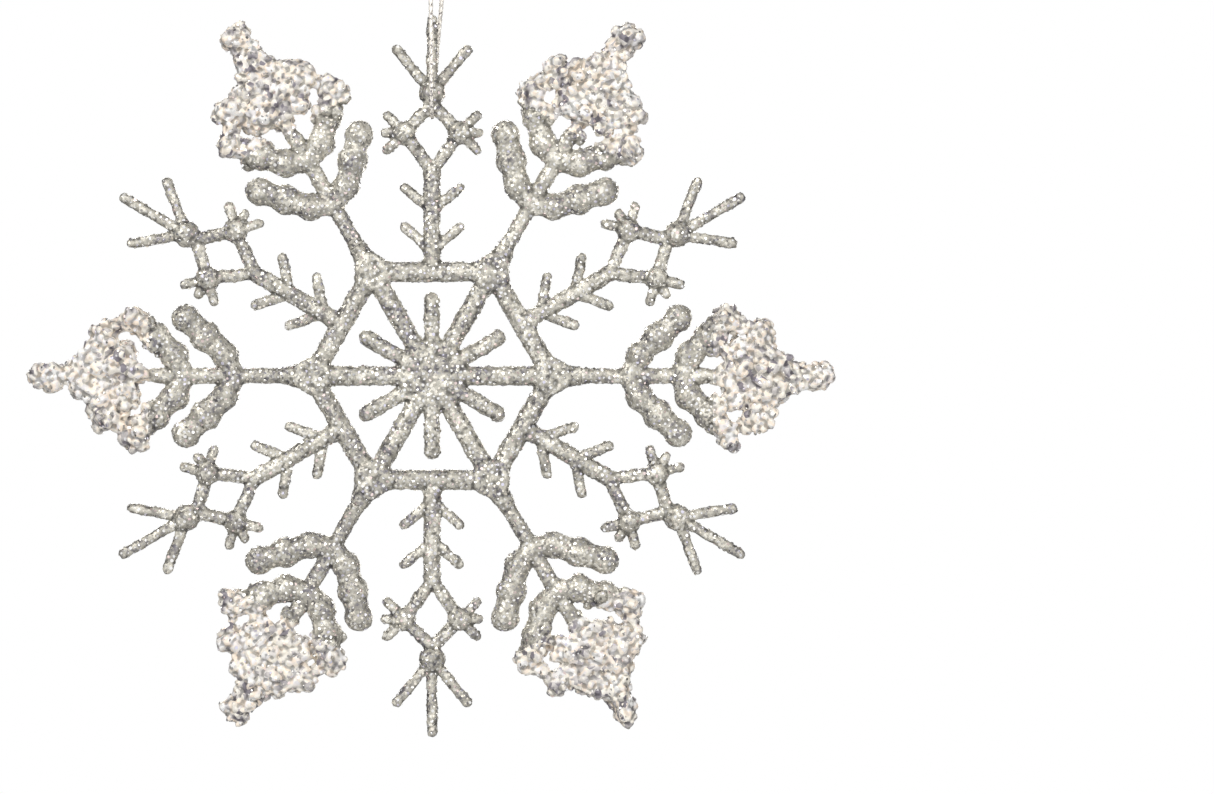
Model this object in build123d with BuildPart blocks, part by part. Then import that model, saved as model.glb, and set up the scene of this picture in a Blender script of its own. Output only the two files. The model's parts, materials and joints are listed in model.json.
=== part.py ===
"""A twelve-armed glittered snowflake that hangs on a loop of metallic thread.

The flake is built in the XZ plane with its face towards -Y and its centre at the origin. Six major
arms (0, 60, ... degrees) stand on the corners of a hexagonal ring and six minor arms on its sides.
The thread passes through the open diamond of the top minor arm and is knotted above it.
"""

from build123d import *
from math import cos, radians, sin, tan
import os

os.makedirs("parts", exist_ok=True)

# ---------------------------------------------------------------- driving dimensions, in mm
arm_count = 6

# Overall sizes: from the centre to the end of a major arm and of a minor arm.
major_reach = 51.0
minor_reach = 46.0

# Hub: a small disc from which six long and six short spokes run out.
hub_disc_radius = 4.4
hub_disc_depth = 2.5
hub_disc_edge = 0.6
long_spoke_radius = 1.15
short_spoke_radius = 0.95
short_spoke_gap = 1.45

# Hexagonal ring: round bars between six corner blocks.
ring_radius = 15.3
ring_bar_radius = 1.2
corner_apothem = 2.1
corner_depth = 2.8
foot_height = 0.5
foot_radius = 1.15

# Major arm, measured outwards from the ring's corner.
stem_radius = 0.9
flare_length = 2.4
flare_radius = 1.35
lobe_starts = (11.0, 17.5)
lobe_offset = 2.6
lobe_length = 6.9
lobe_angle = 43.0
lobe_root_back = 1.1
lobe_waist_radius = 1.25
bulb_radii = (1.6, 1.7, 1.55)

# Granular tip of a major arm, measured outwards from the ring's corner.
tip_start = 22.1
tip_lobe_start = 24.0
tip_lobe_offset = 2.7
tip_lobe_length = 3.5
tip_lobe_angle = 47.0
tip_bulb_radius = 1.75
tip_bulb_count = 2
tip_body_half_width = 5.6
tip_body_shoulder = 4.8
tip_body_length = 8.9
tip_body_depth = 2.6
tip_body_edge = 0.7
neck_radius = 1.45
end_bulb_radius = 1.65

# Minor arm, measured outwards from the flat side of the ring.
minor_stem_radius = 1.0
barb_starts = (2.7, 7.75)
barb_run = 3.0
barb_half_span = 4.1
barb_radius = 0.6
eye_start = 12.85
eye_middle = 17.75
eye_end = 21.45
eye_half_width = 3.55
eye_bar_radius = 0.75
side_node_radius = 1.45
stub_length = 3.1
stub_radius = 0.57
stub_spread = 45.0
middle_stub_length = 2.4
tip_node_distance = 22.85
tip_node_radius = 1.6
prong_run = 5.5
prong_half_span = 4.5
prong_radius = 0.6

# Thread and its knot.
thread_diameter = 0.6
turn_height = 47.5
knot_radius = 1.5
knot_middle = (0.3, 0.0, 83.6)
tail_diameter = 0.6

# ---------------------------------------------------------------- places worked out from them
side_distance = ring_radius * cos(radians(180 / arm_count))
bar_half_length = ring_radius / 2 - corner_apothem
foot_face = side_distance + ring_bar_radius + foot_height
spoke_end = ring_radius - corner_apothem
short_spoke_reach = side_distance - ring_bar_radius - short_spoke_gap
step_angle = 360 / arm_count
first_minor_angle = step_angle / 2

# The thread's route, from the knot down the front, through the eye and up the back to the knot.
thread_route = [
    (-0.12, -0.05, 82.6),
    (-1.75, -0.25, 77.5),
    (-0.95, -0.9, 66.0),
    (-0.10, -1.85, 52.0),
    (0.0, -2.4, 40.5),
    (0.0, -2.2, 33.0),
    (0.0, 2.2, 33.0),
    (0.4, 2.4, 40.5),
    (1.5, 1.85, 52.0),
    (2.1, 0.9, 66.0),
    (2.35, 0.25, 77.5),
    (0.72, 0.05, 82.6),
]
left_tail_route = [
    (-0.1, -0.2, 84.6),
    (-0.9, -0.5, 87.0),
    (-2.2, -0.4, 89.4),
]
right_tail_route = [
    (0.8, 0.2, 84.6),
    (1.3, 0.6, 87.4),
    (2.9, 0.9, 90.0),
]


def place(out, across=0.0, angle=0.0):
    """A point of an arm: how far out and how far to one side, on an arm at that angle."""
    turn = radians(angle)
    x = out * cos(turn) - across * sin(turn)
    z = out * sin(turn) + across * cos(turn)
    return Vector(x, 0, z)


def rod(start, end, radius):
    """Adds a round rod between two points to the part that is being built."""
    with Locations(Plane(origin=start, z_dir=end - start)):
        Cylinder(radius, (end - start).length, align=(Align.CENTER, Align.CENTER, Align.MIN))


def ball(centre, radius):
    """Adds a ball to the part that is being built."""
    with Locations(centre):
        Sphere(radius)


def finger(start, end, radius):
    """Adds a rod with a rounded outer end."""
    rod(start, end, radius)
    ball(end, radius)


def turned(piece, angle):
    """A copy of a piece that was built along +X, turned to an arm's place."""
    with BuildPart() as copy:
        add(piece.part, rotation=(0, -angle, 0))
    return copy


def save(piece, name):
    """Names a finished piece and writes its file."""
    piece.part.label = name
    export_step(piece.part, f"parts/{name}.step")


# ---------------------------------------------------------------- hub
def make_hub():
    """The disc and its twelve spokes; the long ones end on the ring's corners."""
    with BuildPart() as hub:
        with BuildSketch(Plane.XZ):
            Circle(hub_disc_radius)
        extrude(amount=hub_disc_depth / 2, both=True)
        fillet(hub.edges().filter_by(GeomType.CIRCLE), hub_disc_edge)
        for number in range(arm_count):
            long_angle = number * step_angle
            short_angle = first_minor_angle + long_angle
            rod(Vector(0, 0, 0), place(spoke_end, angle=long_angle), long_spoke_radius)
            short_end = place(short_spoke_reach - short_spoke_radius, angle=short_angle)
            finger(Vector(0, 0, 0), short_end, short_spoke_radius)
    return hub


# ---------------------------------------------------------------- hexagonal ring
def make_ring_bar():
    """One side of the ring, with the foot on which a minor arm stands."""
    with BuildPart() as bar:
        left = place(side_distance, -bar_half_length)
        right = place(side_distance, bar_half_length)
        rod(left, right, ring_bar_radius)
        rod(place(side_distance), place(foot_face), foot_radius)
    return bar


# ---------------------------------------------------------------- major arm
def lobe_points(start, side, offset, length, angle, count):
    """The bulbs' centres along one lobe, as distances out and across."""
    step = length / (count - 1)
    points = []
    for number in range(count):
        out = start + number * step * cos(radians(angle))
        across = offset + number * step * sin(radians(angle))
        points.append((ring_radius + out, side * across))
    return points


def make_major_arm():
    """A corner block of the ring, the stem on it and two pairs of three-bulb lobes."""
    stem_start = ring_radius + corner_apothem
    with BuildPart() as arm:
        with BuildSketch(Plane.XZ):
            with Locations((ring_radius, 0)):
                RegularPolygon(corner_apothem, arm_count, major_radius=False, rotation=first_minor_angle)
        extrude(amount=corner_depth / 2, both=True)
        with Locations(Plane(origin=place(stem_start), z_dir=(1, 0, 0))):
            Cone(flare_radius, stem_radius, flare_length, align=(Align.CENTER, Align.CENTER, Align.MIN))
        rod(place(stem_start), place(ring_radius + tip_start), stem_radius)
        for start in lobe_starts:
            for side in (-1, 1):
                bulbs = lobe_points(start, side, lobe_offset, lobe_length, lobe_angle, len(bulb_radii))
                rod(place(bulbs[0][0] - lobe_root_back), place(*bulbs[0]), lobe_waist_radius)
                rod(place(*bulbs[0]), place(*bulbs[-1]), lobe_waist_radius)
                for spot, radius in zip(bulbs, bulb_radii):
                    ball(place(*spot), radius)
    return arm


def make_major_tip():
    """The coarse, granular end of a major arm: a rhombic body, two lobes, a neck and a bulb."""
    base = ring_radius + tip_start
    end_centre = major_reach - end_bulb_radius
    with BuildPart() as tip:
        with BuildSketch(Plane.XZ) as outline:
            with BuildLine():
                Polyline(
                    (base, -stem_radius),
                    (base + tip_body_shoulder, -tip_body_half_width),
                    (base + tip_body_length, -neck_radius),
                    (base + tip_body_length, neck_radius),
                    (base + tip_body_shoulder, tip_body_half_width),
                    (base, stem_radius),
                    close=True,
                )
            make_face()
            rows = outline.vertices().group_by(Axis.Y)
            fillet(rows[0] + rows[-1], tip_body_edge)
        extrude(amount=tip_body_depth / 2, both=True)
        rod(place(base + tip_body_length - neck_radius), place(end_centre), neck_radius)
        ball(place(end_centre), end_bulb_radius)
        for side in (-1, 1):
            lobe = (tip_lobe_start, side, tip_lobe_offset, tip_lobe_length, tip_lobe_angle)
            for spot in lobe_points(*lobe, tip_bulb_count):
                ball(place(*spot), tip_bulb_radius)
    return tip


# ---------------------------------------------------------------- minor arm
def make_minor_arm():
    """A stem with two pairs of barbs, an open diamond with stubbed corners and a trident."""
    base = side_distance
    low = place(base + eye_start)
    high = place(base + eye_end)
    tip_node = place(base + tip_node_distance)
    with BuildPart() as arm:
        rod(place(foot_face), low, minor_stem_radius)
        ball(low, minor_stem_radius)
        for side in (-1, 1):
            for start in barb_starts:
                barb_end = place(base + start + barb_run, side * (barb_half_span - barb_radius))
                finger(place(base + start), barb_end, barb_radius)
            corner = place(base + eye_middle, side * eye_half_width)
            rod(low, corner, eye_bar_radius)
            rod(corner, high, eye_bar_radius)
            ball(corner, side_node_radius)
            for lean in (-stub_spread, 0, stub_spread):
                length = stub_length if lean else middle_stub_length
                turn = radians(90 - lean)
                stub_end = place(
                    base + eye_middle + length * cos(turn),
                    side * (eye_half_width + length * sin(turn)),
                )
                finger(corner, stub_end, stub_radius)
            prong_end = place(base + tip_node_distance + prong_run, side * prong_half_span)
            finger(tip_node, prong_end, prong_radius)
        rod(high, tip_node, eye_bar_radius)
        ball(tip_node, tip_node_radius)
        finger(tip_node, place(minor_reach - prong_radius), prong_radius)
    return arm


# ---------------------------------------------------------------- thread
def corner_radii(route):
    """The arc at each corner: as large as its two runs allow."""
    points = [Vector(*point) for point in route]
    radii = []
    for before, here, after in zip(points, points[1:], points[2:]):
        half_turn = radians((here - before).get_angle(after - here) / 2)
        shorter = min((here - before).length, (after - here).length)
        radii.append(0.45 * shorter / tan(half_turn))
    return radii


def make_cord(name, route, diameter):
    """A round tube along straight runs joined by tangent arcs."""
    radii = corner_radii(route)
    with BuildPart() as cord:
        with BuildLine() as line:
            FilletPolyline(*route, radius=radii)
        path = line.wire()
        with BuildSketch(Plane(origin=path @ 0, z_dir=path % 0)):
            Circle(diameter / 2)
        sweep()
    length = path.length
    section = Circle(diameter / 2, mode=Mode.PRIVATE).area
    print(name, "length", round(length, 1), "radii", [round(r, 1) for r in radii])
    print(name, "volume", round(cord.part.volume, 2), "of", round(section * length, 2))
    return cord


def make_knot():
    """The overhand knot's outer shape; the strands swing about its middle."""
    with BuildPart() as knot:
        ball(knot_middle, knot_radius)
    return knot


def outside(cord, knot):
    """The part of a cord that lies outside the knot."""
    with BuildPart() as rest:
        add(cord.part)
        add(knot.part, mode=Mode.SUBTRACT)
    return rest


# ---------------------------------------------------------------- build every piece
save(make_hub(), "hub_star")
ring_bar = make_ring_bar()
major_arm = make_major_arm()
major_tip = make_major_tip()
minor_arm = make_minor_arm()
for number in range(arm_count):
    major_angle = number * step_angle
    minor_angle = first_minor_angle + major_angle
    save(turned(ring_bar, minor_angle), f"ring_bar_{number + 1}")
    save(turned(major_arm, major_angle), f"major_arm_{number + 1}")
    save(turned(major_tip, major_angle), f"major_tip_{number + 1}")
    save(turned(minor_arm, minor_angle), f"minor_arm_{number + 1}")

thread_knot = make_knot()
save(thread_knot, "thread_knot")

thread = outside(make_cord("thread", thread_route, thread_diameter), thread_knot)
with BuildPart() as thread_bight:
    add(thread.part)
    split(bisect_by=Plane.XY.offset(turn_height), keep=Keep.BOTTOM)
save(thread_bight, "thread_bight")

with BuildPart() as upper_thread:
    add(thread.part)
    split(bisect_by=Plane.XY.offset(turn_height), keep=Keep.TOP)
front_run, back_run = upper_thread.solids().sort_by(Axis.Y)
with BuildPart() as front_strand:
    add(front_run)
save(front_strand, "front_strand")
with BuildPart() as back_strand:
    add(back_run)
save(back_strand, "back_strand")

for side, route in (("left", left_tail_route), ("right", right_tail_route)):
    whole_tail = make_cord(f"{side}_tail", route, tail_diameter)
    save(outside(whole_tail, thread_knot), f"{side}_tail")
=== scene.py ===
# %% [markdown]
# # A glittered snowflake on a knotted thread
#
# The flake is a thin plastic moulding that was brushed with glue and rolled in glitter. This lesson
# dresses its CAD frame: the thread comes first, then the lumpy plastic, then thousands of flakes of
# foil, and last the studio. Everything is in metres, with the flake's face towards -Y.

# %% Load the frame
import json
import math
import random

import bmesh
import bpy
import numpy as np
from mathutils import Matrix, Vector, noise

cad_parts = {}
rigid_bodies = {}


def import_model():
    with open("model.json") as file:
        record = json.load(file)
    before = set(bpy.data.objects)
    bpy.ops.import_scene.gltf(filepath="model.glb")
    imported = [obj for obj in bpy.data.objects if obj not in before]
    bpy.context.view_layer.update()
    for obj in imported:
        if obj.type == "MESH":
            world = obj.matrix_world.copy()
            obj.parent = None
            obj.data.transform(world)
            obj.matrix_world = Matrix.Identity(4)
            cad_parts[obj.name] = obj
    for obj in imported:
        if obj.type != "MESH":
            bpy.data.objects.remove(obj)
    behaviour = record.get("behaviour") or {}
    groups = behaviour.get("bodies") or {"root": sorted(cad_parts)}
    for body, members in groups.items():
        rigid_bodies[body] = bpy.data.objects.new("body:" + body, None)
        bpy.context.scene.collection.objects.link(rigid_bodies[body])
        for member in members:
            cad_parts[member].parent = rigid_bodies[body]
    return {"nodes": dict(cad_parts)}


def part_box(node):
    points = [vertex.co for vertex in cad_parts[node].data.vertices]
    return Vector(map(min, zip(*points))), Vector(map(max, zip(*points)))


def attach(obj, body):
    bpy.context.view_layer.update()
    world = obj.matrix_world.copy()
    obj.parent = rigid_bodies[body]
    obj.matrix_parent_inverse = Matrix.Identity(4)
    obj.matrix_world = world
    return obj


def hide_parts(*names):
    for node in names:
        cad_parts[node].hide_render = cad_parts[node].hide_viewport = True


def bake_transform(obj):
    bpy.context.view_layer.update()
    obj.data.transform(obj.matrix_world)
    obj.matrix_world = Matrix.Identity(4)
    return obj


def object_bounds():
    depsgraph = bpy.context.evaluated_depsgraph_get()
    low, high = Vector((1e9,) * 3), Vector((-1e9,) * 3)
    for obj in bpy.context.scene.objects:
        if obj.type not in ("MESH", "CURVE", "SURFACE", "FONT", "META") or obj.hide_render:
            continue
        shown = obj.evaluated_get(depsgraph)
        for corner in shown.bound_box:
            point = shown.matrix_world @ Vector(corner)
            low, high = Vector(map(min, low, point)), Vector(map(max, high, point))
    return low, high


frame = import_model()
cad_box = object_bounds()
MM = 0.001

# %% [markdown]
# ## The camera
#
# A flat ornament is looked at squarely. A long lens keeps the arms' angles true, and the camera
# stands level, a little to the right of the hub, so that the flake sits on the left of the picture.

# %% Camera
VIEW_WIDTH = 154.8 * MM
VIEW_CENTRE = Vector((22.3 * MM, 0.0, -2.7 * MM))
LENS, SENSOR = 100.0, 36.0

lens = bpy.data.cameras.new("portrait_lens")
lens.lens = LENS
lens.sensor_width = SENSOR
camera = bpy.data.objects.new("camera", lens)
bpy.context.scene.collection.objects.link(camera)
camera.location = VIEW_CENTRE + Vector((0, -VIEW_WIDTH * LENS / SENSOR, 0))
camera.rotation_euler = (math.radians(90), 0, 0)
lens.clip_start = 0.01
bpy.context.scene.camera = camera
print("camera stands", round(-camera.location.y, 3), "m in front of the flake")

# %% [markdown]
# ## Small helpers
#
# A piece is finished when its mesh holds its place and its object sits at the origin. Modifiers do
# much of the work here, so one helper applies them, and another turns a bmesh into an object.

# %% Helpers
def new_object(name, mesh):
    """Links a mesh to the scene as an object at the origin."""
    piece = bpy.data.objects.new(name, mesh)
    bpy.context.scene.collection.objects.link(piece)
    return piece


def object_from(shape, name):
    """Makes an object from a bmesh and frees the bmesh."""
    mesh = bpy.data.meshes.new(name)
    shape.to_mesh(mesh)
    shape.free()
    return new_object(name, mesh)


def applied(piece):
    """Replaces an object's mesh by the one its modifiers make, and drops the modifiers."""
    bpy.context.view_layer.update()
    graph = bpy.context.evaluated_depsgraph_get()
    mesh = bpy.data.meshes.new_from_object(piece.evaluated_get(graph))
    piece.modifiers.clear()
    piece.data = mesh
    mesh.name = piece.name
    return piece


def smooth_shaded(piece):
    """Shades every face of a piece smoothly."""
    piece.data.polygons.foreach_set("use_smooth", [True] * len(piece.data.polygons))
    return piece


def points_of(mesh, what="co"):
    """The places or the normals of a mesh's points, as an array."""
    numbers = np.empty(len(mesh.vertices) * 3, np.float32)
    mesh.vertices.foreach_get(what, numbers)
    return numbers.reshape(-1, 3)


def written(mesh, name, values):
    """Stores one number for each point of a mesh."""
    layer = mesh.attributes.get(name) or mesh.attributes.new(name, "FLOAT", "POINT")
    layer.data.foreach_set("value", np.asarray(values, np.float32))


def dressed(piece, *materials):
    """Gives a piece its materials, in slot order."""
    piece.data.materials.clear()
    for material in materials:
        piece.data.materials.append(material)
    return piece


# %% [markdown]
# ## Node shorthand
#
# Each material below is a small node tree. Two helpers keep them readable: one adds a node with its
# settings, one starts a material with a Principled shader.

# %% Node helpers
def add_node(tree, kind, inputs=None, **settings):
    """Adds a node, sets its properties and its unlinked inputs."""
    node = tree.nodes.new(kind)
    for key, value in settings.items():
        setattr(node, key, value)
    for key, value in (inputs or {}).items():
        node.inputs[key].default_value = value
    return node


def new_material(name, **sockets):
    """A material with one Principled shader, whose plain values are set on its own sockets."""
    material = bpy.data.materials.new(name)
    material.use_nodes = True
    shader = material.node_tree.nodes["Principled BSDF"]
    for key, value in sockets.items():
        shader.inputs[key.replace("_", " ")].default_value = value
    return material, material.node_tree, shader


# %% [markdown]
# ## The thread's route
#
# One length of silver thread goes down in front of the flake, through the open diamond of the top
# arm and up behind it to a knot. Hanging weight keeps it nearly straight. The points are control
# points of a smooth spline, the same ones that the CAD tube follows.

# %% Thread route
thread_route = [
    (-0.12, -0.05, 82.6),
    (-1.75, -0.25, 77.5),
    (-0.95, -0.9, 66.0),
    (-0.10, -1.85, 52.0),
    (0.0, -2.4, 40.5),
    (0.0, -2.2, 33.0),
    (0.0, 2.2, 33.0),
    (0.4, 2.4, 40.5),
    (1.5, 1.85, 52.0),
    (2.1, 0.9, 66.0),
    (2.35, 0.25, 77.5),
    (0.72, 0.05, 82.6),
]
left_tail_route = [
    (-0.1, -0.2, 84.6),
    (-0.9, -0.5, 87.0),
    (-2.2, -0.4, 89.4),
]
right_tail_route = [
    (0.8, 0.2, 84.6),
    (1.3, 0.6, 87.4),
    (2.9, 0.9, 90.0),
]


def smooth_line(route, step=0.12 * MM):
    """Evenly spaced points on the NURBS spline that a route controls."""
    curve = bpy.data.curves.new("route", "CURVE")
    curve.dimensions = "3D"
    curve.resolution_u = 32
    spline = curve.splines.new("NURBS")
    spline.points.add(len(route) - 1)
    for point, place in zip(spline.points, route):
        point.co = (*(Vector(place) * MM), 1)
    spline.order_u = 3
    spline.use_endpoint_u = True
    guide = new_object("route", curve)
    bpy.context.view_layer.update()
    mesh = bpy.data.meshes.new_from_object(guide)
    line = np.array([vertex.co for vertex in mesh.vertices])
    bpy.data.objects.remove(guide)
    bpy.data.meshes.remove(mesh)
    along = np.concatenate([[0], np.cumsum(np.linalg.norm(np.diff(line, axis=0), axis=1))])
    stops = np.linspace(0, along[-1], int(along[-1] / step) + 1)
    return np.stack([np.interp(stops, along, line[:, axis]) for axis in range(3)], axis=1)


thread_line = smooth_line(thread_route)

# %% [markdown]
# ## Twisted thread
#
# Ornament thread is spun from flat foil over a core, and shows as plies wound round each other with
# dark nicks between them. A frame that travels along the line without twisting carries each ply's
# helix, and a bevelled curve along the helix gives the ply its round body.

# %% Thread plies
PLY_RADIUS = 0.17 * MM
PLY_OFFSET = 0.125 * MM
PLY_COUNT = 3
TWIST_PITCH = 2.7 * MM
PLY_RESOLUTION = 2


def tube_along(points, radius, name, cyclic=False, resolution=PLY_RESOLUTION):
    """A closed round tube through points, as an object with a mesh."""
    curve = bpy.data.curves.new(name, "CURVE")
    curve.dimensions = "3D"
    curve.bevel_depth = radius
    curve.bevel_resolution = resolution
    curve.use_fill_caps = not cyclic
    spline = curve.splines.new("POLY")
    spline.points.add(len(points) - 1)
    spline.points.foreach_set("co", np.column_stack([points, np.ones(len(points))]).ravel())
    spline.use_cyclic_u = cyclic
    guide = new_object(name, curve)
    bpy.context.view_layer.update()
    mesh = bpy.data.meshes.new_from_object(guide)
    bpy.data.objects.remove(guide)
    return mesh


def ply_lines(line, pitch, offset, count):
    """The helices that the plies of a thread follow round its centreline."""
    tangents = np.gradient(line, axis=0)
    tangents /= np.linalg.norm(tangents, axis=1)[:, None]
    normals = np.zeros_like(line)
    normal = np.cross(tangents[0], (0.3, 1.0, 0.2))
    for number, tangent in enumerate(tangents):
        normal = normal - tangent * normal.dot(tangent)
        normal /= np.linalg.norm(normal)
        normals[number] = normal
    sides = np.cross(tangents, normals)
    along = np.concatenate([[0], np.cumsum(np.linalg.norm(np.diff(line, axis=0), axis=1))])
    helices = []
    for ply in range(count):
        turn = 2 * math.pi * (along / pitch + ply / count)
        swing = normals * np.cos(turn)[:, None] + sides * np.sin(turn)[:, None]
        helices.append(line + offset * swing)
    return helices


def twisted_thread(name, line):
    """A thread's plies, joined in one mesh object."""
    shape = bmesh.new()
    for helix in ply_lines(line, TWIST_PITCH, PLY_OFFSET, PLY_COUNT):
        ply = tube_along(helix, PLY_RADIUS, name)
        shape.from_mesh(ply)
        bpy.data.meshes.remove(ply)
    return smooth_shaded(object_from(shape, name))


thread = twisted_thread("hanging_thread", thread_line)
left_tail = twisted_thread("left_thread_tail", smooth_line(left_tail_route))
right_tail = twisted_thread("right_thread_tail", smooth_line(right_tail_route))
print("thread has", len(thread.data.polygons), "faces")

# %% [markdown]
# ## The knot
#
# Both ends are tied together in an overhand knot. Pulled tight, it reads as a small trefoil of
# thread, so a trefoil curve is scaled into the knot's CAD box and swept as one round tube: at this
# size the thread's plies are squeezed together and no longer show.

# %% Knot
KNOT_STEPS = 140
KNOT_TUBE = 0.33 * MM
KNOT_FLATTEN = 0.85

knot_low, knot_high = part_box("thread_knot")
knot_middle = (knot_low + knot_high) / 2
knot_reach = (knot_high.x - knot_low.x) / 2 - KNOT_TUBE
turns = np.linspace(0, 2 * math.pi, KNOT_STEPS, endpoint=False)
trefoil = np.stack(
    [np.sin(turns) + 2 * np.sin(2 * turns), -np.sin(3 * turns), np.cos(turns) - 2 * np.cos(2 * turns)],
    axis=1,
)
trefoil *= knot_reach / np.abs(trefoil).max() * np.array([1.0, 1.0, KNOT_FLATTEN])
knot_name = "thread_knot_loops"
knot_mesh = tube_along(trefoil + np.array(knot_middle), KNOT_TUBE, knot_name, cyclic=True, resolution=4)
knot = smooth_shaded(new_object(knot_name, knot_mesh))
print("knot spans", round(2 * (knot_reach + KNOT_TUBE) / MM, 2), "mm")

# %% [markdown]
# ## The plastic under the glitter
#
# The real flake is one moulding, with soft fillets wherever two rods meet. Copies of the CAD solids
# are joined and remeshed as one skin, which a few rounds of smoothing then fillets. Small balls
# close the gaps between each long arm's outer lobes and its tip, where glue runs together.

# %% One skin over the whole flake
VOXEL = 0.2 * MM
SMOOTH_ROUNDS = 8
SWELL = 0.10 * MM
ARM_COUNT = 6
STEP_ANGLE = 360 / ARM_COUNT
BRIDGE_OUT, BRIDGE_ACROSS, BRIDGE_RADIUS = 39.8 * MM, 6.3 * MM, 0.85 * MM

major_arms = [f"major_arm_{number}" for number in range(1, ARM_COUNT + 1)]
major_tips = [f"major_tip_{number}" for number in range(1, ARM_COUNT + 1)]
minor_arms = [f"minor_arm_{number}" for number in range(1, ARM_COUNT + 1)]
core_nodes = ["hub_star"] + [f"ring_bar_{number}" for number in range(1, ARM_COUNT + 1)]


def arm_turn(angle):
    """The turn that carries +X to an arm at that angle, seen from the front."""
    return Matrix.Rotation(-math.radians(angle), 4, "Y")


def merged_copy(name):
    """A copy of a CAD node's mesh with its loose triangles joined."""
    shape = bmesh.new()
    shape.from_mesh(frame["nodes"][name].data)
    bmesh.ops.remove_doubles(shape, verts=shape.verts, dist=1e-6)
    mesh = bpy.data.meshes.new(name)
    shape.to_mesh(mesh)
    shape.free()
    return mesh


whole = bmesh.new()
for name in core_nodes + major_arms + major_tips + minor_arms:
    copied = merged_copy(name)
    whole.from_mesh(copied)
    bpy.data.meshes.remove(copied)
for number in range(ARM_COUNT):
    for side in (-1, 1):
        at = arm_turn(number * STEP_ANGLE) @ Matrix.Translation((BRIDGE_OUT, 0, side * BRIDGE_ACROSS))
        bmesh.ops.create_icosphere(whole, subdivisions=2, radius=BRIDGE_RADIUS, matrix=at)
skin = object_from(whole, "flake_skin")
remesh = skin.modifiers.new("one_skin", "REMESH")
remesh.mode = "VOXEL"
remesh.voxel_size = VOXEL
soften = skin.modifiers.new("fillets", "SMOOTH")
soften.factor = 0.5
soften.iterations = SMOOTH_ROUNDS
applied(skin)
print("skin has", len(skin.data.vertices), "points")

# %% [markdown]
# ## Soft junctions
#
# On the real moulding no edge shows where the rods meet: the spokes run into the middle as ridges,
# and the ring's corners are soft knuckles. Points near the hub and the corners are smoothed many
# times more, and shallow grooves are pressed between the spokes over the hub's disc.

# %% Junctions
HUB_REACH, CORNER_REACH, JUNCTION_FADE = 5.4 * MM, 2.4 * MM, 2.0 * MM
RING_RADIUS = 15.3 * MM
JUNCTION_ROUNDS = 36
SPOKE_COUNT = 2 * ARM_COUNT
GROOVE_DEPTH = 0.34 * MM
GROOVE_FROM, GROOVE_FULL = 1.0 * MM, 3.6 * MM
FADE_LEVELS = 10


def way_out(angle):
    """The direction in which an arm at that angle points."""
    return Vector((math.cos(math.radians(angle)), 0, math.sin(math.radians(angle))))


def grooved(piece):
    """Presses grooves between the spokes into both faces of the hub."""
    spots = points_of(piece.data)
    out = np.hypot(spots[:, 0], spots[:, 2])
    turn = np.arctan2(spots[:, 2], spots[:, 0])
    between = 0.5 - 0.5 * np.cos(SPOKE_COUNT * turn)
    depth = GROOVE_DEPTH * between * np.clip((out - GROOVE_FROM) / (GROOVE_FULL - GROOVE_FROM), 0, 1)
    depth[out > HUB_REACH] = 0
    spots[:, 1] -= np.sign(spots[:, 1]) * np.minimum(depth, np.abs(spots[:, 1]))
    piece.data.vertices.foreach_set("co", spots.astype(np.float32).ravel())


def melted(piece):
    """Smooths a piece strongly near the hub and the ring's corners."""
    spots = points_of(piece.data)
    share = (HUB_REACH + JUNCTION_FADE - np.hypot(spots[:, 0], spots[:, 2])) / JUNCTION_FADE
    for number in range(ARM_COUNT):
        away = np.linalg.norm(spots - np.array(way_out(number * STEP_ANGLE)) * RING_RADIUS, axis=1)
        share = np.maximum(share, (CORNER_REACH + JUNCTION_FADE - away) / JUNCTION_FADE)
    group = piece.vertex_groups.new(name="junctions")
    for level in range(1, FADE_LEVELS + 1):
        near = np.flatnonzero(np.round(np.clip(share, 0, 1) * FADE_LEVELS) == level)
        group.add(near.tolist(), level / FADE_LEVELS, "REPLACE")
    soften = piece.modifiers.new("melted", "SMOOTH")
    soften.factor = 0.5
    soften.iterations = JUNCTION_ROUNDS
    soften.vertex_group = group.name
    return applied(piece)


grooved(skin)
melted(skin)
print("grooves between", SPOKE_COUNT, "spokes, soft knuckles at", ARM_COUNT, "corners")

# %% [markdown]
# ## Lumps in the glue
#
# Two sizes of noise push each point in or out along its normal. The swell puts back what the
# smoothing took off the thin rods. Glue gathers most on the long arms' lobes, so they swell more.

# %% Lumps
LUMP_SIZE, LUMP_HEIGHT = 1.3 * MM, 0.13 * MM
GRIT_SIZE, GRIT_HEIGHT = 0.5 * MM, 0.09 * MM
LOBE_SWELL = 0.2 * MM
LOBES_FROM, LOBES_TO, LOBES_ACROSS = 25.0 * MM, 39.0 * MM, 2.0 * MM
LOBE_FADE = 1.5 * MM
MAJOR_WEDGE = math.radians(16.6)


def along_arm(spots, angle):
    """How far each point lies out along an arm and across it."""
    way = way_out(angle)
    return spots[:, 0] * way.x + spots[:, 2] * way.z, spots[:, 2] * way.x - spots[:, 0] * way.z


def lobe_share(spots):
    """How far each point lies on a long arm's lobe: 0 off it and on the stem, 1 well out on it."""
    share = np.zeros(len(spots))
    for number in range(ARM_COUNT):
        out, across = along_arm(spots, number * STEP_ANGLE)
        along = np.minimum(out - LOBES_FROM, LOBES_TO - out) / LOBE_FADE
        beside = np.minimum(along, (np.abs(across) - LOBES_ACROSS) / LOBE_FADE + 1)
        beside[np.abs(across) > out * math.tan(MAJOR_WEDGE)] = 0
        share = np.maximum(share, np.clip(beside, 0, 1))
    return share


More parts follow.
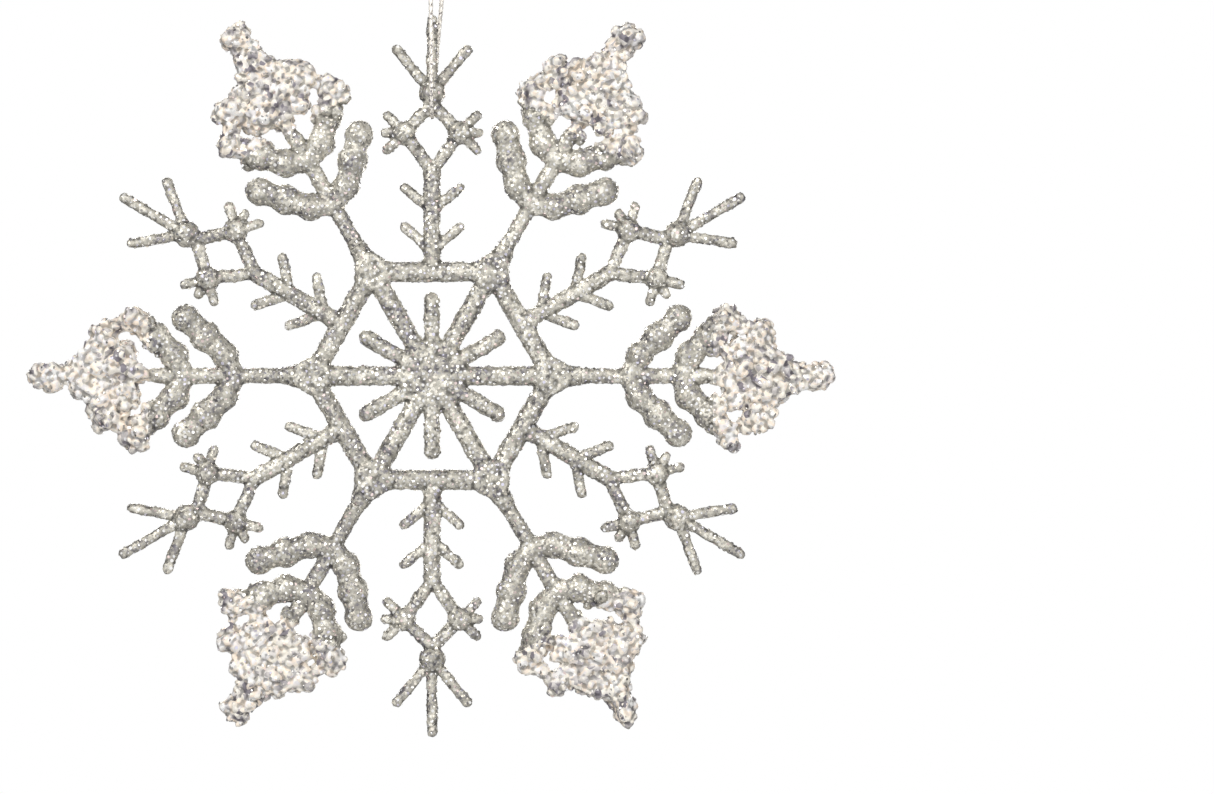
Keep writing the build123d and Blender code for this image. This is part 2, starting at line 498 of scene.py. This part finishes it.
def roughened(piece):
    """Pushes each point along its normal by a slow and a quick noise."""
    mesh = piece.data
    spots, normals = points_of(mesh), points_of(mesh, "normal")
    heights = SWELL + LOBE_SWELL * lobe_share(spots)
    for number, spot in enumerate(spots):
        place = Vector(spot)
        heights[number] += LUMP_HEIGHT * noise.noise(place / LUMP_SIZE)
        heights[number] += GRIT_HEIGHT * noise.noise(place / GRIT_SIZE)
    moved = spots + normals * heights[:, None]
    mesh.vertices.foreach_set("co", moved.astype(np.float32).ravel())
    mesh.update()
    return piece


roughened(skin)
print("skin is", round(float(np.ptp(points_of(skin.data)[:, 1])) / MM, 2), "mm thick at most")

# %% [markdown]
# ## Dividing the skin
#
# Each arm is a piece of its own, as in the CAD frame. Its part of the skin is cut off square across
# the stem, and the cut is closed, so every piece stays a sealed shell. Pieces of one body touch
# along the cuts, where no gap shows.

# %% Cutting the arms off
MAJOR_CUT, MINOR_CUT = 19.0 * MM, 15.2 * MM
CUT_MARGIN = 3 * VOXEL
MINOR_WEDGE = math.radians(13.4)
FIRST_MINOR_ANGLE = 30
major_angles = [number * STEP_ANGLE for number in range(ARM_COUNT)]
minor_angles = [FIRST_MINOR_ANGLE + angle for angle in major_angles]


def cut_across(shape, geometry, angle, distance, keep_outer):
    """Cuts some of a bmesh square across an arm, drops one side and closes the cut."""
    way = way_out(angle)
    cut = bmesh.ops.bisect_plane(
        shape,
        geom=geometry,
        plane_co=way * distance,
        plane_no=way,
        clear_inner=keep_outer,
        clear_outer=not keep_outer,
    )
    rim = [item for item in cut["geom_cut"] if isinstance(item, bmesh.types.BMEdge)]
    bmesh.ops.edgenet_fill(shape, edges=rim)


def beside_arm(spots, angle, distance, wedge):
    """Which points lie in an arm's wedge, from just inside its cut outwards."""
    out, across = along_arm(spots, angle)
    return (out > distance - CUT_MARGIN) & (np.abs(np.arctan2(across, out)) < wedge)


def faces_kept(mesh, test):
    """A bmesh of the faces whose every point passes a test on the points' array."""
    passed = test(points_of(mesh))
    shape = bmesh.new()
    shape.from_mesh(mesh)
    shape.verts.ensure_lookup_table()
    bmesh.ops.delete(shape, geom=[shape.verts[i] for i in np.flatnonzero(~passed)], context="VERTS")
    return shape


def arm_piece(name, angle, distance, wedge):
    """The part of the skin that lies along one arm, beyond the cut."""
    shape = faces_kept(skin.data, lambda spots: beside_arm(spots, angle, distance, wedge))
    cut_across(shape, shape.verts[:] + shape.edges[:] + shape.faces[:], angle, distance, keep_outer=True)
    return object_from(shape, name)


def core_piece(name):
    """The hub and the ring, cut off from all twelve arms."""
    reach = MAJOR_CUT + CUT_MARGIN
    shape = faces_kept(skin.data, lambda spots: np.hypot(spots[:, 0], spots[:, 2]) < reach)
    cuts = [(angle, MAJOR_CUT, MAJOR_WEDGE) for angle in major_angles]
    cuts += [(angle, MINOR_CUT, MINOR_WEDGE) for angle in minor_angles]
    for angle, distance, wedge in cuts:
        spots = np.array([vert.co for vert in shape.verts])
        beyond = beside_arm(spots, angle, distance, wedge)
        verts = [vert for vert, outside in zip(shape.verts, beyond) if outside]
        chosen = set(verts)
        faces = [face for face in shape.faces if chosen.issuperset(face.verts)]
        edges = [edge for edge in shape.edges if chosen.issuperset(edge.verts)]
        cut_across(shape, verts + edges + faces, angle, distance, keep_outer=False)
    return object_from(shape, name)


core = core_piece("hub_and_ring")
majors = [
    arm_piece(f"long_arm_{number}", angle, MAJOR_CUT, MAJOR_WEDGE)
    for number, angle in enumerate(major_angles, start=1)
]
minors = [
    arm_piece(f"short_arm_{number}", angle, MINOR_CUT, MINOR_WEDGE)
    for number, angle in enumerate(minor_angles, start=1)
]
bpy.data.objects.remove(skin)
print("core", len(core.data.polygons), "long arm", len(majors[0].data.polygons), "faces")

# %% [markdown]
# ## Scattering
#
# A short geometry-node tree scatters copies of small shapes over a piece: it spreads points, puts a
# random shape of a collection on each, tips and scales it, and makes the copies real. The same tree
# lays the coarse grains and, later, the foil.

# %% A scattering modifier
def scatter_tree(shapes, spacing, density, tip, sizes, seed, factor=None):
    """The node group that scatters a collection's shapes over a mesh."""
    tree = bpy.data.node_groups.new("scatter", "GeometryNodeTree")
    tree.interface.new_socket("Geometry", in_out="INPUT", socket_type="NodeSocketGeometry")
    tree.interface.new_socket("Geometry", in_out="OUTPUT", socket_type="NodeSocketGeometry")
    entry = add_node(tree, "NodeGroupInput")
    leave = add_node(tree, "NodeGroupOutput")
    spread = add_node(tree, "GeometryNodeDistributePointsOnFaces", distribute_method="POISSON")
    spread.inputs["Distance Min"].default_value = spacing
    spread.inputs["Density Max"].default_value = density
    spread.inputs["Seed"].default_value = seed
    if factor:
        where = add_node(tree, "GeometryNodeInputNamedAttribute", data_type="FLOAT")
        where.inputs["Name"].default_value = factor
        tree.links.new(where.outputs["Attribute"], spread.inputs["Density Factor"])
    source = add_node(tree, "GeometryNodeCollectionInfo", transform_space="ORIGINAL")
    source.inputs["Collection"].default_value = shapes
    source.inputs["Separate Children"].default_value = True
    source.inputs["Reset Children"].default_value = True
    lean = add_node(tree, "FunctionNodeRandomValue", data_type="FLOAT_VECTOR")
    lean.inputs["Min"].default_value = (-tip, -tip, -math.pi)
    lean.inputs["Max"].default_value = (tip, tip, math.pi)
    lean.inputs["Seed"].default_value = seed + 1
    size = add_node(tree, "FunctionNodeRandomValue", data_type="FLOAT")
    size.inputs["Min"].default_value = sizes[0]
    size.inputs["Max"].default_value = sizes[1]
    size.inputs["Seed"].default_value = seed + 2
    pick = add_node(tree, "FunctionNodeRandomValue", data_type="INT")
    pick.inputs["Min"].default_value = 0
    pick.inputs["Max"].default_value = len(shapes.objects) - 1
    pick.inputs["Seed"].default_value = seed + 3
    turn = add_node(tree, "FunctionNodeRotateRotation", rotation_space="LOCAL")
    copies = add_node(tree, "GeometryNodeInstanceOnPoints")
    copies.inputs["Pick Instance"].default_value = True
    real = add_node(tree, "GeometryNodeRealizeInstances")
    links = tree.links
    links.new(entry.outputs[0], spread.inputs["Mesh"])
    links.new(spread.outputs["Points"], copies.inputs["Points"])
    links.new(source.outputs[0], copies.inputs["Instance"])
    links.new(pick.outputs["Value"], copies.inputs["Instance Index"])
    links.new(spread.outputs["Rotation"], turn.inputs["Rotation"])
    links.new(lean.outputs["Value"], turn.inputs["Rotate By"])
    links.new(turn.outputs["Rotation"], copies.inputs["Rotation"])
    links.new(size.outputs["Value"], copies.inputs["Scale"])
    links.new(copies.outputs["Instances"], real.inputs["Geometry"])
    links.new(real.outputs["Geometry"], leave.inputs[0])
    return tree


def scattered(name, ground, tree):
    """A new object that holds what a scattering tree lays over a piece."""
    copies = new_object(name, ground.data.copy())
    modifier = copies.modifiers.new("scatter", "NODES")
    modifier.node_group = tree
    return applied(copies)


# %% [markdown]
# ## Coarse grains on the long arms' tips
#
# The ends of the long arms were dipped in a much coarser grit. Rough little balls are scattered
# there, and the arm is remeshed with them, so that the grit is one surface with the arm and the
# pits between grains stay real.

# %% Coarse grains
COARSE_FROM, COARSE_FADE = 34.6 * MM, 2.6 * MM
COARSE_SINK = 0.26 * MM
HEAP_SIZE, HEAP_HEIGHT = 2.6 * MM, 0.6 * MM
GRAIN_RADIUS = 0.66 * MM
GRAIN_SPACING = 1.0 * MM
GRAIN_DENSITY = 5e6
GRAIN_LEAN = 1.5
GRAIN_SIZES = (0.35, 1.5)
GRAIN_SHAPES = 9
GRAIN_SQUEEZE = (0.75, 1.3)
GRAIN_KNOCK = 0.45
KNOCK_WAVES, KNOCK_STEP = 1.6, 7.0
WORN_ROUNDS = 3
FINE_VOXEL = 0.17 * MM
FIRST_GRAIN_SEED = 40


def make_grain(number, shapes):
    """One rough lump of grit: a ball squeezed along three ways and knocked about by noise."""
    chance = random.Random(number)
    squeeze = [chance.uniform(*GRAIN_SQUEEZE) for _ in range(3)]
    shape = bmesh.new()
    bmesh.ops.create_icosphere(shape, subdivisions=2, radius=GRAIN_RADIUS)
    for vert in shape.verts:
        spot = vert.co.normalized() * KNOCK_WAVES + Vector((KNOCK_STEP * number, 0, 0))
        knock = 1 + GRAIN_KNOCK * noise.noise(spot)
        vert.co = Vector(co * way * knock for co, way in zip(vert.co, squeeze))
    grain = object_from(shape, f"grain_{number}")
    bpy.context.scene.collection.objects.unlink(grain)
    shapes.objects.link(grain)


grains = bpy.data.collections.new("grains")
for number in range(GRAIN_SHAPES):
    make_grain(number, grains)


def coarse_share(mesh, angle):
    """How far each point of a long arm lies in the coarse grit: 0 on the stem, 1 at the tip."""
    out, _ = along_arm(points_of(mesh).astype(float), angle)
    return np.clip((out - COARSE_FROM) / COARSE_FADE, 0, 1)


def gritted(arm, angle, seed):
    """Heaps up a long arm's tip, lays coarse grains on it and remeshes both as one."""
    mesh = arm.data
    share = coarse_share(mesh, angle)
    spots = points_of(mesh)
    heaps = np.array([noise.noise(Vector(spot) / HEAP_SIZE) for spot in spots])
    lifts = share * (HEAP_HEIGHT * heaps - COARSE_SINK)
    moved = spots + points_of(mesh, "normal") * lifts[:, None]
    mesh.vertices.foreach_set("co", moved.astype(np.float32).ravel())
    written(mesh, "coarse", share)
    tree = scatter_tree(grains, GRAIN_SPACING, GRAIN_DENSITY, GRAIN_LEAN, GRAIN_SIZES, seed, "coarse")
    grit = scattered("grit", arm, tree)
    shape = bmesh.new()
    shape.from_mesh(arm.data)
    shape.from_mesh(grit.data)
    bpy.data.objects.remove(grit)
    shape.to_mesh(arm.data)
    shape.free()
    remesh = arm.modifiers.new("grit", "REMESH")
    remesh.mode = "VOXEL"
    remesh.voxel_size = FINE_VOXEL
    soften = arm.modifiers.new("worn", "SMOOTH")
    soften.factor = 0.5
    soften.iterations = WORN_ROUNDS
    applied(arm)
    written(arm.data, "coarse", coarse_share(arm.data, angle))


for number, (arm, angle) in enumerate(zip(majors, major_angles)):
    gritted(arm, angle, FIRST_GRAIN_SEED + number)
print("long arm with grit has", len(majors[0].data.polygons), "faces")

# %% [markdown]
# ## Painted shade in the pits
#
# The pits between grains are painted darker, as painted shade, while crests keep their full tone.
# Each point is compared with its neighbours: where they stand higher it lies in a pit. The roundness
# of the rod itself is taken off, and the result is kept on the mesh for the coat's material to paint as
# shade.

# %% Pits
PIT_DEPTH = 0.015 * MM
NEAR_ROUNDS, FAR_ROUNDS = 2, 20


def mark_pit_shade(piece):
    """Stores for each point 0 on a crest, a half on level ground and 1 in a pit, for the painted shade in
    the pits.
    """
    mesh = piece.data
    spots, normals = points_of(mesh), points_of(mesh, "normal")
    ends = np.empty(len(mesh.edges) * 2, np.int32)
    mesh.edges.foreach_get("vertices", ends)
    first, second = ends.reshape(-1, 2).T
    counts = np.maximum(np.bincount(ends, minlength=len(spots)), 1)

    def around(values):
        total = np.bincount(first, weights=values[second], minlength=len(spots))
        return (total + np.bincount(second, weights=values[first], minlength=len(spots))) / counts

    middle = np.stack([around(spots[:, axis]) for axis in range(3)], axis=1)
    depth = ((middle - spots) * normals).sum(axis=1)
    for _ in range(NEAR_ROUNDS):
        depth = around(depth)
    form = depth
    for _ in range(FAR_ROUNDS):
        form = around(form)
    # Painted shade: this pit measure is what the coats darken the colour by.
    written(mesh, "pit", np.clip(0.5 + (depth - form) / PIT_DEPTH, 0, 1))


# %% [markdown]
# ## Glitter-coated plastic
#
# Between the loose flakes the coat still glitters. A Voronoi pattern splits the surface into foil
# cells; each cell gets its own grey, its own gloss and its own slight tilt, so light breaks up on it
# as it does on crushed foil.

# %% Coat material
FINE_CELL, COARSE_CELL = 0.36 * MM, 0.7 * MM
SHADE_FROM = 0.42


def coat_material(name, tones, cell, patch, gloss_range, tilt_by, pit_shade_tone, metal):
    """Glitter seen as a coat: foil cells in random tones, with painted shade darkening the pits."""
    material, tree, shader = new_material(name, Metallic=metal)
    links = tree.links
    where = add_node(tree, "ShaderNodeTexCoord")
    cells = add_node(tree, "ShaderNodeTexVoronoi", inputs={"Scale": 1 / cell})
    links.new(where.outputs["Object"], cells.inputs["Vector"])
    chance = add_node(tree, "ShaderNodeSeparateColor")
    links.new(cells.outputs["Color"], chance.inputs["Color"])

    patches = add_node(tree, "ShaderNodeTexVoronoi", feature="SMOOTH_F1", inputs={"Scale": 1 / patch})
    links.new(where.outputs["Object"], patches.inputs["Vector"])
    patch_chance = add_node(tree, "ShaderNodeSeparateColor")
    links.new(patches.outputs["Color"], patch_chance.inputs["Color"])
    blend = add_node(tree, "ShaderNodeMix", inputs={"Factor": 0.5})
    links.new(chance.outputs["Red"], blend.inputs["A"])
    links.new(patch_chance.outputs["Red"], blend.inputs["B"])

    tone = add_node(tree, "ShaderNodeValToRGB")
    ramp = tone.color_ramp
    while len(ramp.elements) < len(tones):
        ramp.elements.new(0.5)
    for element, (position, tint) in zip(ramp.elements, tones):
        element.position = position
        element.color = (*tint, 1)
    links.new(blend.outputs["Result"], tone.inputs["Fac"])

    # Painted shade: the base colour is multiplied down towards a darker tone where the pit measure is high.
    pit = add_node(tree, "ShaderNodeAttribute", attribute_name="pit")
    shade = add_node(tree, "ShaderNodeMapRange", interpolation_type="SMOOTHSTEP")
    shade.inputs["From Min"].default_value = SHADE_FROM
    shade.inputs["From Max"].default_value = 1.0
    shade.inputs["To Min"].default_value = 1.0
    shade.inputs["To Max"].default_value = pit_shade_tone
    links.new(pit.outputs["Fac"], shade.inputs["Value"])
    shaded = add_node(tree, "ShaderNodeMix", data_type="RGBA", blend_type="MULTIPLY")
    shaded.inputs["Factor"].default_value = 1.0
    links.new(tone.outputs["Color"], shaded.inputs[6])
    links.new(shade.outputs["Result"], shaded.inputs[7])
    links.new(shaded.outputs[2], shader.inputs["Base Color"])

    gloss = add_node(tree, "ShaderNodeMapRange", inputs={"To Min": gloss_range[0], "To Max": gloss_range[1]})
    links.new(chance.outputs["Green"], gloss.inputs["Value"])
    links.new(gloss.outputs["Result"], shader.inputs["Roughness"])

    facing = add_node(tree, "ShaderNodeNewGeometry")
    centred = add_node(tree, "ShaderNodeVectorMath", operation="SUBTRACT")
    centred.inputs[1].default_value = (0.5, 0.5, 0.5)
    links.new(cells.outputs["Color"], centred.inputs[0])
    tilt = add_node(tree, "ShaderNodeVectorMath", operation="MULTIPLY_ADD")
    tilt.inputs[1].default_value = (tilt_by, tilt_by, tilt_by)
    links.new(centred.outputs["Vector"], tilt.inputs[0])
    links.new(facing.outputs["Normal"], tilt.inputs[2])
    level = add_node(tree, "ShaderNodeVectorMath", operation="NORMALIZE")
    links.new(tilt.outputs["Vector"], level.inputs[0])
    links.new(level.outputs["Vector"], shader.inputs["Normal"])
    return material


FINE_TONES = [
    (0.12, (0.22, 0.21, 0.23)),
    (0.36, (0.46, 0.44, 0.38)),
    (0.62, (0.62, 0.60, 0.52)),
    (0.82, (0.96, 0.93, 0.83)),
]
COARSE_TONES = [
    (0.16, (0.26, 0.24, 0.27)),
    (0.32, (0.76, 0.73, 0.69)),
    (0.46, (1.00, 0.96, 0.85)),
    (0.58, (1.00, 0.86, 0.71)),
    (0.68, (0.86, 0.84, 0.84)),
    (0.80, (1.00, 1.00, 0.97)),
]
fine_coat = coat_material(
    "fine_glitter_coat",
    FINE_TONES,
    cell=FINE_CELL,
    patch=1.6 * MM,
    gloss_range=(0.2, 0.5),
    tilt_by=0.6,
    pit_shade_tone=0.36,
    metal=0.35,
)
coarse_coat = coat_material(
    "coarse_glitter_coat",
    COARSE_TONES,
    cell=COARSE_CELL,
    patch=1.5 * MM,
    gloss_range=(0.3, 0.55),
    tilt_by=0.3,
    pit_shade_tone=0.44,
    metal=0.1,
)
print("coats:", fine_coat.name, "and", coarse_coat.name)

# %% [markdown]
# ## Thread finish
#
# The foil of the thread is bright on its ribbons and dark in its nicks. A fine Voronoi pattern on the
# object's coordinates stands for the ribbons and their edges.

# %% Thread material
RIBBON_WIDTH = 0.26 * MM


def thread_material():
    """Pale silver ribbon over a core, with dark nicks where the ribbon's edges meet."""
    material, tree, shader = new_material("silver_thread_foil", Metallic=0.4)
    links = tree.links
    where = add_node(tree, "ShaderNodeTexCoord")
    weave = add_node(tree, "ShaderNodeTexVoronoi", inputs={"Scale": 1 / RIBBON_WIDTH, "Randomness": 0.9})
    links.new(where.outputs["Object"], weave.inputs["Vector"])
    chance = add_node(tree, "ShaderNodeSeparateColor")
    links.new(weave.outputs["Color"], chance.inputs["Color"])
    tone = add_node(tree, "ShaderNodeValToRGB")
    ramp = tone.color_ramp
    ramp.elements[0].position = 0.06
    ramp.elements[0].color = (0.30, 0.28, 0.28, 1)
    ramp.elements[1].position = 0.9
    ramp.elements[1].color = (1.0, 0.96, 0.88, 1)
    middle = ramp.elements.new(0.24)
    middle.color = (0.92, 0.88, 0.80, 1)
    links.new(chance.outputs["Red"], tone.inputs["Fac"])
    links.new(tone.outputs["Color"], shader.inputs["Base Color"])
    gloss = add_node(tree, "ShaderNodeMapRange", inputs={"To Min": 0.2, "To Max": 0.5})
    links.new(chance.outputs["Green"], gloss.inputs["Value"])
    links.new(gloss.outputs["Result"], shader.inputs["Roughness"])
    return material


thread_foil = thread_material()
for piece in (thread, left_tail, right_tail, knot):
    dressed(piece, thread_foil)
print("thread, tails and knot wear", thread_foil.name)

# %% [markdown]
# ## Foil flakes
#
# The sparkle comes from real flakes: thin hexagons of cut foil, lying nearly flat, each tipped its
# own way. Sample flakes in six tints are scattered, with more samples of the commoner tints. Each
# tint is one plain foil, as a flake is far too small to hold a pattern.

# %% Flakes
FLAKE_WIDTH = 0.44 * MM
FLAKE_THICKNESS = 0.04 * MM
FLAKE_SPACING = 0.56 * MM
FLAKE_TIP = math.radians(20)
FLAKE_DENSITY = 2e7
FLAKE_SIZES = (0.6, 1.2)
FLAKE_BEVEL = 0.9
FEWER_ON_GRIT = 0.5
FLAKE_FOILS = {
    "silver_foil": ((0.98, 0.98, 0.97), 0.16, 4),
    "pearl_foil": ((1.0, 0.99, 0.95), 0.30, 4),
    "cream_foil": ((1.0, 0.94, 0.82), 0.30, 2),
    "grey_foil": ((0.52, 0.51, 0.48), 0.25, 3),
    "rose_foil": ((0.98, 0.82, 0.78), 0.28, 1),
    "lilac_foil": ((0.84, 0.82, 0.95), 0.28, 1),
}


def make_flakes():
    """The collection of sample flakes, the commoner tints more often."""
    shapes = bpy.data.collections.new("flakes")
    for name, (tint, roughness, share) in FLAKE_FOILS.items():
        foil, _, _ = new_material(name, Base_Color=(*tint, 1), Metallic=0.85, Roughness=roughness)
        for number in range(share):
            shape = bmesh.new()
            bmesh.ops.create_cone(
                shape,
                cap_ends=True,
                segments=6,
                radius1=FLAKE_WIDTH / 2,
                radius2=FLAKE_WIDTH / 2 * FLAKE_BEVEL,
                depth=FLAKE_THICKNESS,
            )
            flake = dressed(object_from(shape, f"{name}_{number}"), foil)
            bpy.context.scene.collection.objects.unlink(flake)
            shapes.objects.link(flake)
    return shapes


flakes = make_flakes()


def glittered(piece, seed):
    """Lays foil flakes over a piece, as a piece of their own."""
    mesh = piece.data
    share = np.zeros(len(mesh.vertices), np.float32)
    layer = mesh.attributes.get("coarse")
    if layer:
        layer.data.foreach_get("value", share)
    written(mesh, "foil", 1 - FEWER_ON_GRIT * share)
    tree = scatter_tree(flakes, FLAKE_SPACING, FLAKE_DENSITY, FLAKE_TIP, FLAKE_SIZES, seed, "foil")
    return scattered(f"{piece.name}_foil", piece, tree)


pieces = [core] + majors + minors
FIRST_FLAKE_SEED, SEED_STEP, FLAKE_FACES = 100, 10, 8
foils = [
    glittered(piece, FIRST_FLAKE_SEED + SEED_STEP * number) for number, piece in enumerate(pieces)
]
print("flakes on the hub and ring:", len(foils[0].data.polygons) // FLAKE_FACES)

# %% Coats on the pieces
def coat(piece):
    """Gives a piece its coat, the coarse one where grit was laid."""
    # The pit measure stored here is painted as shade in the pits by the coats.
    mark_pit_shade(piece)
    dressed(smooth_shaded(piece), fine_coat, coarse_coat)
    layer = piece.data.attributes.get("coarse")
    if layer:
        amount = np.empty(len(piece.data.vertices), np.float32)
        layer.data.foreach_get("value", amount)
        slots = [int(amount[face.vertices[0]] > 0.5) for face in piece.data.polygons]
        piece.data.polygons.foreach_set("material_index", slots)


for piece in pieces:
    coat(piece)
print("coated", len(pieces), "pieces")

# %% [markdown]
# ## What rides on what
#
# The skins and their foil stand for the CAD solids of the flake and ride on its body. The thread
# crosses the joint where the flake turns, and rides on neither body.

# %% Riding
FLAKE = "flake"
replaced = [core_nodes]
replaced += [[major_arms[n], major_tips[n]] for n in range(ARM_COUNT)]
replaced += [[minor_arms[n]] for n in range(ARM_COUNT)]
for piece, foil, nodes in zip(pieces, foils, replaced):
    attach(piece, FLAKE)
    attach(foil, FLAKE)
    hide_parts(*nodes)
for piece, node in ((knot, "thread_knot"), (left_tail, "left_tail"), (right_tail, "right_tail")):
    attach(piece, "hanger")
    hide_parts(node)

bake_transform(thread)
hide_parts("thread_bight", "front_strand", "back_strand")

# %% [markdown]
# ## The studio
#
# The flake hangs free, so the pale floor lies well below it and only sends light back up. Large soft
# lamps in front and behind give the broad grey shading, and two small ones in front make the flakes
# flash.

# %% Floor
FLOOR_DROP = 0.55
FLOOR_RADIUS = 0.5


def pale_floor():
    """A round, pale floor far under the flake."""
    material, tree, shader = new_material("pale_floor", Roughness=0.8)
    where = add_node(tree, "ShaderNodeTexCoord")
    mottle = add_node(tree, "ShaderNodeTexNoise", inputs={"Scale": 6.0, "Detail": 3.0})
    tree.links.new(where.outputs["Object"], mottle.inputs["Vector"])
    tone = add_node(tree, "ShaderNodeMapRange", inputs={"To Min": 0.80, "To Max": 0.84})
    tree.links.new(mottle.outputs["Fac"], tone.inputs["Value"])
    tree.links.new(tone.outputs["Result"], shader.inputs["Base Color"])
    shape = bmesh.new()
    place = Matrix.Translation((0, 0, cad_box[0].z - FLOOR_DROP))
    bmesh.ops.create_circle(shape, cap_ends=True, segments=96, radius=FLOOR_RADIUS, matrix=place)
    return dressed(object_from(shape, "studio_floor"), material)


floor = pale_floor()
print("floor lies", round(-floor.data.vertices[0].co.z, 2), "m below the hub")

# %% Lamps
LAMP_COLOUR = (1.0, 0.97, 0.93)


def soft_lamp(name, place, aim, size, power):
    """A square area lamp that points at a spot."""
    lamp = bpy.data.lights.new(name, "AREA")
    lamp.shape = "SQUARE"
    lamp.size = size
    lamp.energy = power
    lamp.color = LAMP_COLOUR
    holder = bpy.data.objects.new(name, lamp)
    bpy.context.scene.collection.objects.link(holder)
    holder.location = place
    holder.rotation_mode = "QUATERNION"
    holder.rotation_quaternion = (Vector(aim) - Vector(place)).to_track_quat("-Z", "Y")
    return holder


MIDDLE = (0, 0, 0)
soft_lamp("key_softbox", (-0.45, -0.55, 0.55), MIDDLE, 0.5, 3.0)
soft_lamp("fill_softbox", (0.6, -0.5, 0.15), MIDDLE, 0.6, 1.1)
soft_lamp("back_left_softbox", (-0.16, 0.85, 0.25), MIDDLE, 0.4, 4.2)
soft_lamp("back_right_softbox", (0.30, 0.80, 0.05), MIDDLE, 0.4, 2.3)
soft_lamp("spark_left", (-0.18, -0.7, 0.32), MIDDLE, 0.06, 0.45)
soft_lamp("spark_right", (0.35, -0.6, 0.38), MIDDLE, 0.06, 0.40)

# %% [markdown]
# The sky is white where it is looked at, like a lit paper backdrop. The light it gives is bright
# in front of the flake, dim beside it and behind it, so that the sides of the rods fall off darker.

# %% Sky
SKY_FRONT, SKY_SIDE, SKY_BACK = 0.90, 0.04, 0.15
SIDE_AT = 0.55
SKY_BLUE = 1.03
world = bpy.data.worlds.new("studio_sky")
bpy.context.scene.world = world
world.use_nodes = True
sky = world.node_tree
sky.nodes.clear()
direction = add_node(sky, "ShaderNodeTexCoord")
axes = add_node(sky, "ShaderNodeSeparateXYZ")
depth = add_node(sky, "ShaderNodeMapRange", inputs={"From Min": -1.0, "From Max": 1.0})
fall = add_node(sky, "ShaderNodeValToRGB")
fall.color_ramp.interpolation = "EASE"
fall.color_ramp.elements.new(SIDE_AT)
for stop, level in zip(fall.color_ramp.elements, (SKY_FRONT, SKY_SIDE, SKY_BACK)):
    stop.color = (level, level, level * SKY_BLUE, 1)
giving = add_node(sky, "ShaderNodeBackground", inputs={"Strength": 1.0})
looked_at = add_node(sky, "ShaderNodeBackground", inputs={"Color": (1, 1, 1, 1), "Strength": 1.0})
seen = add_node(sky, "ShaderNodeLightPath")
choice = add_node(sky, "ShaderNodeMixShader")
out = add_node(sky, "ShaderNodeOutputWorld")
sky.links.new(direction.outputs["Generated"], axes.inputs["Vector"])
sky.links.new(axes.outputs["Y"], depth.inputs["Value"])
sky.links.new(depth.outputs["Result"], fall.inputs["Fac"])
sky.links.new(fall.outputs["Color"], giving.inputs["Color"])
sky.links.new(seen.outputs["Is Camera Ray"], choice.inputs["Fac"])
sky.links.new(giving.outputs["Background"], choice.inputs[1])
sky.links.new(looked_at.outputs["Background"], choice.inputs[2])
sky.links.new(choice.outputs["Shader"], out.inputs["Surface"])
bpy.context.scene.view_settings.view_transform = "Standard"

# %% [markdown]
# ## Measuring and finishing
#
# The dressed model has to fill the same box as its CAD frame; the CAD frame's box is printed.

# %% Finish
print("cad", [list(corner) for corner in cad_box])
